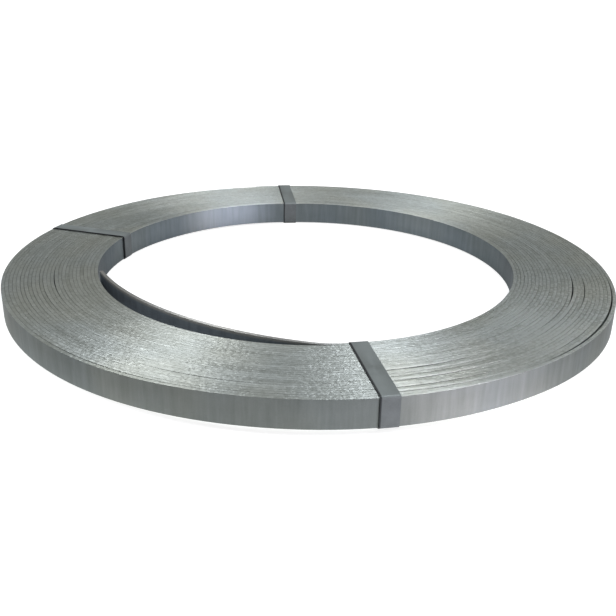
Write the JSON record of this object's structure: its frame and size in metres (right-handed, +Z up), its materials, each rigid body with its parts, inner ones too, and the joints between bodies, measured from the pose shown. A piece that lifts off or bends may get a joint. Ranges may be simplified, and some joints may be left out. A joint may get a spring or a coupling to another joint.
{
  "type": "steel coil",
  "caption": "Flat-lying coil of galvanised flat steel strip with a wide round bore, a sprung inner end, and dark grey steel straps closed round its section.",
  "frame": {"origin": "centre of the coil, on the plane that the straps' undersides stand on", "axes": "+Z up along the coil's axis, -Y towards the front strap's side, +X to the right as seen from there"},
  "size_m": [0.7389, 0.739, 0.0326],
  "materials": {
    "galvanised_strip": "hot-dip galvanised, dull silver grey with fine streaks along the strip",
    "strap": "smooth matt dark grey"
  },
  "bodies": {
    "root": {"wound_strip": "galvanised_strip", "strap_front": "strap", "strap_back": "strap", "strap_left": "strap"}
  },
  "joints": []
}
